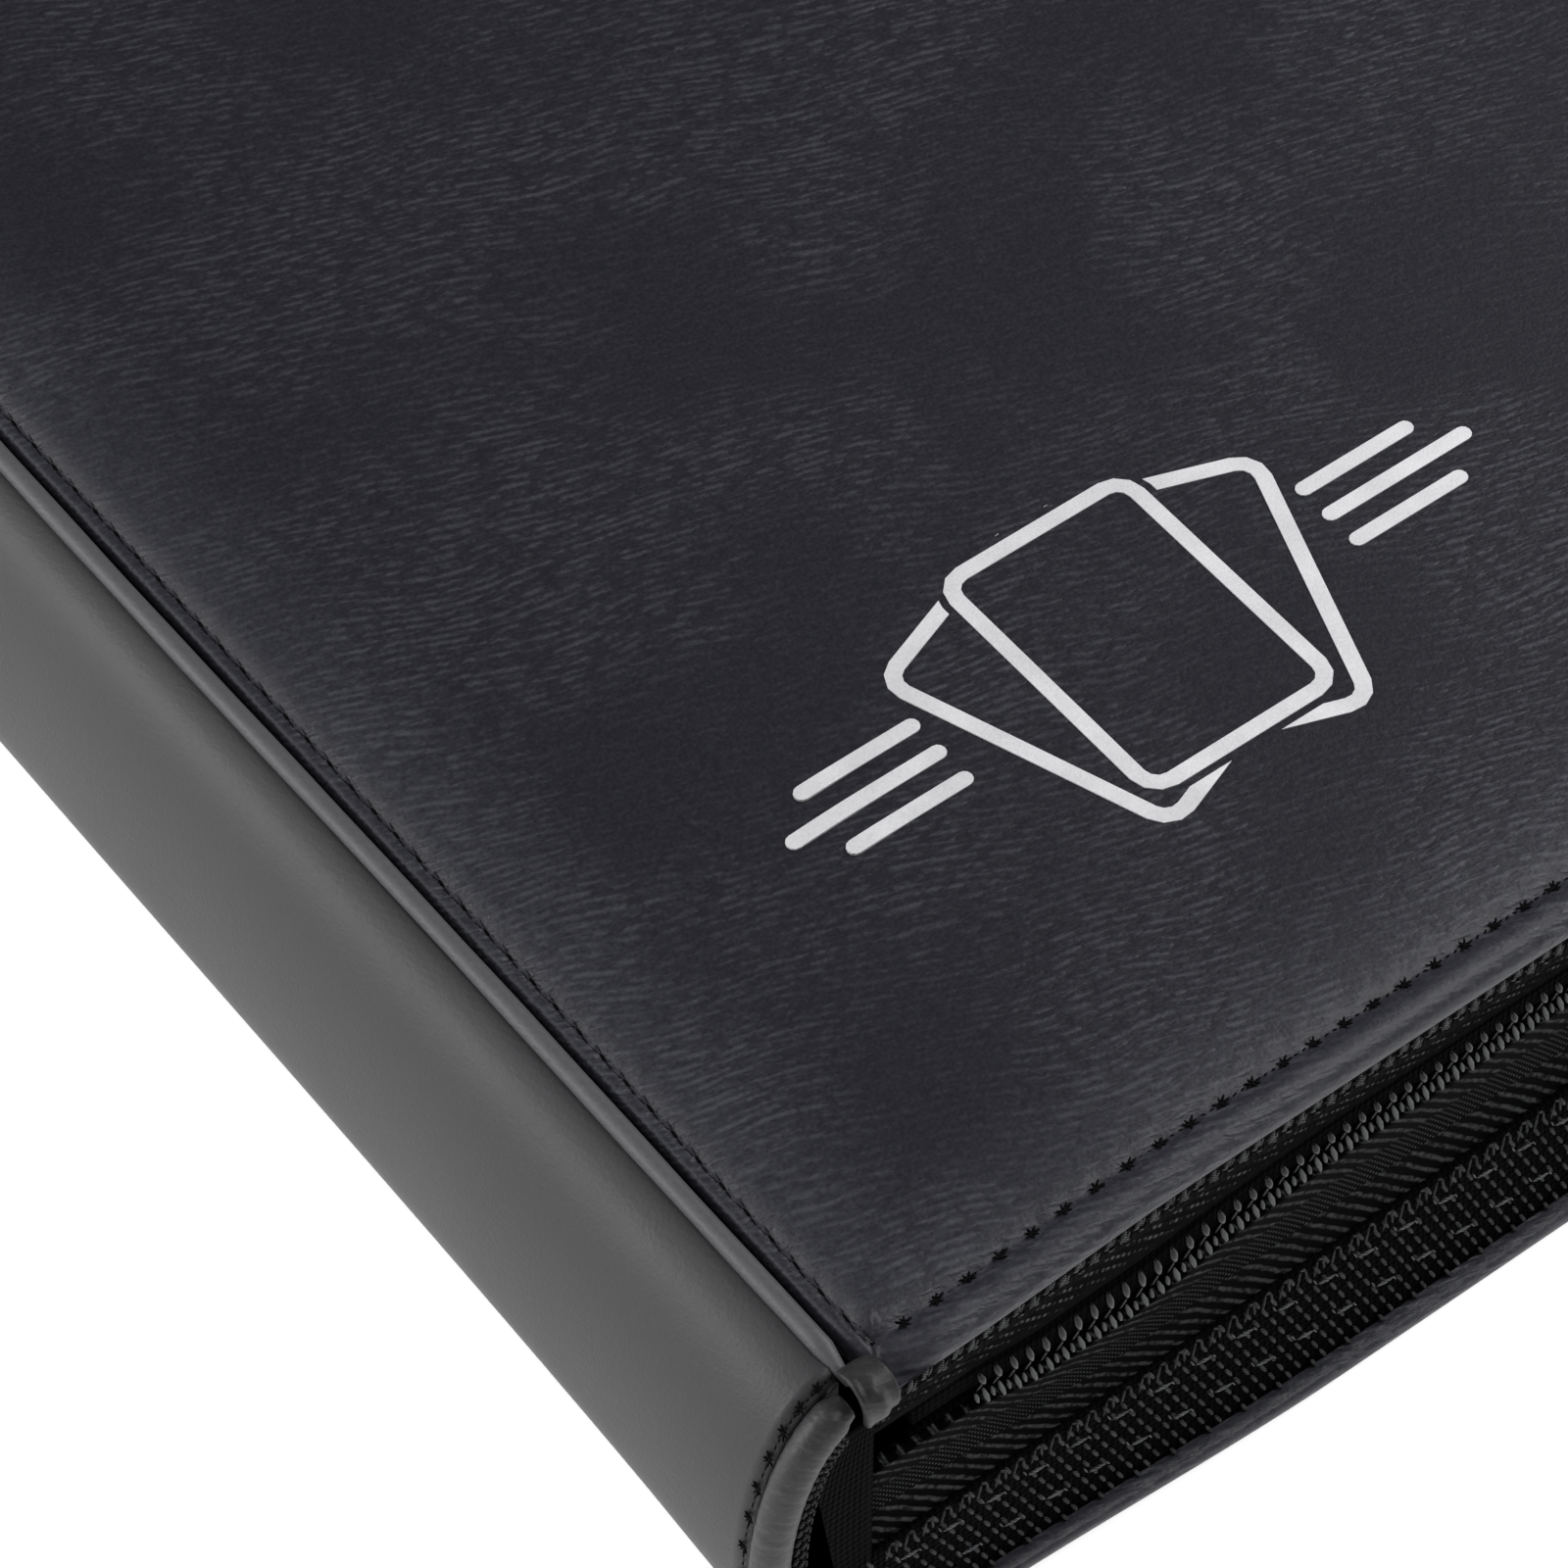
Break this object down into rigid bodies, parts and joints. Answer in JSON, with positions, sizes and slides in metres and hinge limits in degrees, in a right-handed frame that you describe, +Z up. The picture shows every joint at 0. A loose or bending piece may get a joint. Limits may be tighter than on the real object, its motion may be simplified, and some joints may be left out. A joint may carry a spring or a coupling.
{
  "type": "trading card binder",
  "caption": "Zip-around padded card binder with a soft rounded spine, webbing wall, coil zipper with slider and pull, foil emblem, and hinged pocket pages inside.",
  "frame": {"origin": "centre of the back cover's flat outer face, halfway between the spine seams and the fore edge, which is the face the closed binder lies on", "axes": "+X from the spine to the fore edge, +Y along the spine from tail to head, +Z up through the thickness to the front cover"},
  "size_m": [0.2715, 0.3455, 0.0377],
  "materials": {
    "covering": "black grained leatherette, satin",
    "spine_covering": "black smooth leatherette, satin",
    "webbing": "ribbed woven webbing",
    "zipper_tape": "herringbone woven tape",
    "zipper_coil": "glossy nylon coil",
    "lining": "fine woven lining",
    "foam": "soft foam sheet",
    "board": "grey board",
    "foil": "satin silver foil",
    "slider_metal": "black enamelled zinc",
    "page_film": "black sheet under clear welded film"
  },
  "bodies": {
    "back_cover": {"back_skin": "covering", "back_padding": "foam", "back_board": "board", "back_lining": "lining", "gusset_webbing": "webbing", "lower_tape": "zipper_tape", "lower_coil": "zipper_coil", "binding_roll": "lining", "binding_tape": "lining"},
    "spine": {"spine_skin": "spine_covering", "spine_padding": "foam", "spine_lining": "lining", "front_seam": "covering", "back_seam": "covering", "tail_piping": "spine_covering", "head_piping": "spine_covering", "tail_ribbon": "webbing", "head_ribbon": "webbing"},
    "front_cover": {"front_skin": "covering", "front_padding": "foam", "front_board": "board", "front_lining": "lining", "edge_webbing": "webbing", "upper_tape": "zipper_tape", "upper_coil": "zipper_coil", "tail_tab": "covering", "head_tab": "covering", "foil_emblem": "foil"},
    "slider": {"slider_body": "slider_metal"},
    "pull": {"slider_pull": "slider_metal"},
    "page_01": {"page_01": "page_film"},
    "page_02": {"page_02": "page_film"},
    "page_03": {"page_03": "page_film"},
    "page_04": {"page_04": "page_film"},
    "page_05": {"page_05": "page_film"},
    "page_06": {"page_06": "page_film"},
    "page_07": {"page_07": "page_film"},
    "page_08": {"page_08": "page_film"},
    "page_09": {"page_09": "page_film"},
    "page_10": {"page_10": "page_film"},
    "page_11": {"page_11": "page_film"},
    "page_12": {"page_12": "page_film"},
    "page_13": {"page_13": "page_film"},
    "page_14": {"page_14": "page_film"},
    "page_15": {"page_15": "page_film"},
    "page_16": {"page_16": "page_film"},
    "page_17": {"page_17": "page_film"},
    "page_18": {"page_18": "page_film"},
    "page_19": {"page_19": "page_film"},
    "page_20": {"page_20": "page_film"}
  },
  "joints": [
    {"name": "spine_hinge", "type": "hinge", "parent": "back_cover", "child": "spine", "pos_m": [-0.131, 0, 0.003], "axis": [0, -1, 0], "range_deg": [0, 90]},
    {"name": "front_cover_hinge", "type": "hinge", "parent": "spine", "child": "front_cover", "pos_m": [-0.131, 0, 0.0346], "axis": [0, -1, 0], "range_deg": [0, 90]},
    {"name": "slider_slide", "type": "slide", "parent": "back_cover", "child": "slider", "axis": [1, 0, 0], "range_m": [0, 0.214]},
    {"name": "pull_hinge", "type": "hinge", "parent": "slider", "child": "pull", "pos_m": [-0.107, 0.17245, 0.0252], "axis": [0, 0, 1], "range_deg": [0, 170]},
    {"name": "page_01_turn", "type": "hinge", "parent": "back_cover", "child": "page_01", "pos_m": [-0.126, 0, 0.0188], "axis": [0, -1, 0], "range_deg": [0, 0.61]},
    {"name": "page_02_turn", "type": "hinge", "parent": "back_cover", "child": "page_02", "pos_m": [-0.126, 0, 0.0188], "axis": [0, -1, 0], "range_deg": [0, 1.81]},
    {"name": "page_03_turn", "type": "hinge", "parent": "back_cover", "child": "page_03", "pos_m": [-0.126, 0, 0.0188], "axis": [0, -1, 0], "range_deg": [0, 3.01]},
    {"name": "page_04_turn", "type": "hinge", "parent": "back_cover", "child": "page_04", "pos_m": [-0.126, 0, 0.0188], "axis": [0, -1, 0], "range_deg": [0, 4.21]},
    {"name": "page_05_turn", "type": "hinge", "parent": "back_cover", "child": "page_05", "pos_m": [-0.126, 0, 0.0188], "axis": [0, -1, 0], "range_deg": [0, 5.41]},
    {"name": "page_06_turn", "type": "hinge", "parent": "back_cover", "child": "page_06", "pos_m": [-0.126, 0, 0.0188], "axis": [0, -1, 0], "range_deg": [0, 6.61]},
    {"name": "page_07_turn", "type": "hinge", "parent": "back_cover", "child": "page_07", "pos_m": [-0.126, 0, 0.0188], "axis": [0, -1, 0], "range_deg": [0, 7.81]},
    {"name": "page_08_turn", "type": "hinge", "parent": "back_cover", "child": "page_08", "pos_m": [-0.126, 0, 0.0188], "axis": [0, -1, 0], "range_deg": [0, 9.01]},
    {"name": "page_09_turn", "type": "hinge", "parent": "back_cover", "child": "page_09", "pos_m": [-0.126, 0, 0.0188], "axis": [0, -1, 0], "range_deg": [0, 10.21]},
    {"name": "page_10_turn", "type": "hinge", "parent": "back_cover", "child": "page_10", "pos_m": [-0.126, 0, 0.0188], "axis": [0, -1, 0], "range_deg": [0, 11.41]},
    {"name": "page_11_turn", "type": "hinge", "parent": "back_cover", "child": "page_11", "pos_m": [-0.126, 0, 0.0188], "axis": [0, -1, 0], "range_deg": [0, 168.61]},
    {"name": "page_12_turn", "type": "hinge", "parent": "back_cover", "child": "page_12", "pos_m": [-0.126, 0, 0.0188], "axis": [0, -1, 0], "range_deg": [0, 169.81]},
    {"name": "page_13_turn", "type": "hinge", "parent": "back_cover", "child": "page_13", "pos_m": [-0.126, 0, 0.0188], "axis": [0, -1, 0], "range_deg": [0, 171.01]},
    {"name": "page_14_turn", "type": "hinge", "parent": "back_cover", "child": "page_14", "pos_m": [-0.126, 0, 0.0188], "axis": [0, -1, 0], "range_deg": [0, 172.21]},
    {"name": "page_15_turn", "type": "hinge", "parent": "back_cover", "child": "page_15", "pos_m": [-0.126, 0, 0.0188], "axis": [0, -1, 0], "range_deg": [0, 173.41]},
    {"name": "page_16_turn", "type": "hinge", "parent": "back_cover", "child": "page_16", "pos_m": [-0.126, 0, 0.0188], "axis": [0, -1, 0], "range_deg": [0, 174.61]},
    {"name": "page_17_turn", "type": "hinge", "parent": "back_cover", "child": "page_17", "pos_m": [-0.126, 0, 0.0188], "axis": [0, -1, 0], "range_deg": [0, 175.81]},
    {"name": "page_18_turn", "type": "hinge", "parent": "back_cover", "child": "page_18", "pos_m": [-0.126, 0, 0.0188], "axis": [0, -1, 0], "range_deg": [0, 177.01]},
    {"name": "page_19_turn", "type": "hinge", "parent": "back_cover", "child": "page_19", "pos_m": [-0.126, 0, 0.0188], "axis": [0, -1, 0], "range_deg": [0, 178.21]},
    {"name": "page_20_turn", "type": "hinge", "parent": "back_cover", "child": "page_20", "pos_m": [-0.126, 0, 0.0188], "axis": [0, -1, 0], "range_deg": [0, 179.41]}
  ],
  "couplings": [
    {"joint": "spine_hinge", "follows": "front_cover_hinge", "ratio": 1},
    {"joint": "page_01_turn", "follows": "front_cover_hinge", "ratio": 0.006667},
    {"joint": "page_02_turn", "follows": "front_cover_hinge", "ratio": 0.02},
    {"joint": "page_03_turn", "follows": "front_cover_hinge", "ratio": 0.033333},
    {"joint": "page_04_turn", "follows": "front_cover_hinge", "ratio": 0.046667},
    {"joint": "page_05_turn", "follows": "front_cover_hinge", "ratio": 0.06},
    {"joint": "page_06_turn", "follows": "front_cover_hinge", "ratio": 0.073333},
    {"joint": "page_07_turn", "follows": "front_cover_hinge", "ratio": 0.086667},
    {"joint": "page_08_turn", "follows": "front_cover_hinge", "ratio": 0.1},
    {"joint": "page_09_turn", "follows": "front_cover_hinge", "ratio": 0.11333},
    {"joint": "page_10_turn", "follows": "front_cover_hinge", "ratio": 0.12667},
    {"joint": "page_11_turn", "follows": "front_cover_hinge", "ratio": 1.8733},
    {"joint": "page_12_turn", "follows": "front_cover_hinge", "ratio": 1.8867},
    {"joint": "page_13_turn", "follows": "front_cover_hinge", "ratio": 1.9},
    {"joint": "page_14_turn", "follows": "front_cover_hinge", "ratio": 1.9133},
    {"joint": "page_15_turn", "follows": "front_cover_hinge", "ratio": 1.9267},
    {"joint": "page_16_turn", "follows": "front_cover_hinge", "ratio": 1.94},
    {"joint": "page_17_turn", "follows": "front_cover_hinge", "ratio": 1.9533},
    {"joint": "page_18_turn", "follows": "front_cover_hinge", "ratio": 1.9667},
    {"joint": "page_19_turn", "follows": "front_cover_hinge", "ratio": 1.98},
    {"joint": "page_20_turn", "follows": "front_cover_hinge", "ratio": 1.9933}
  ]
}
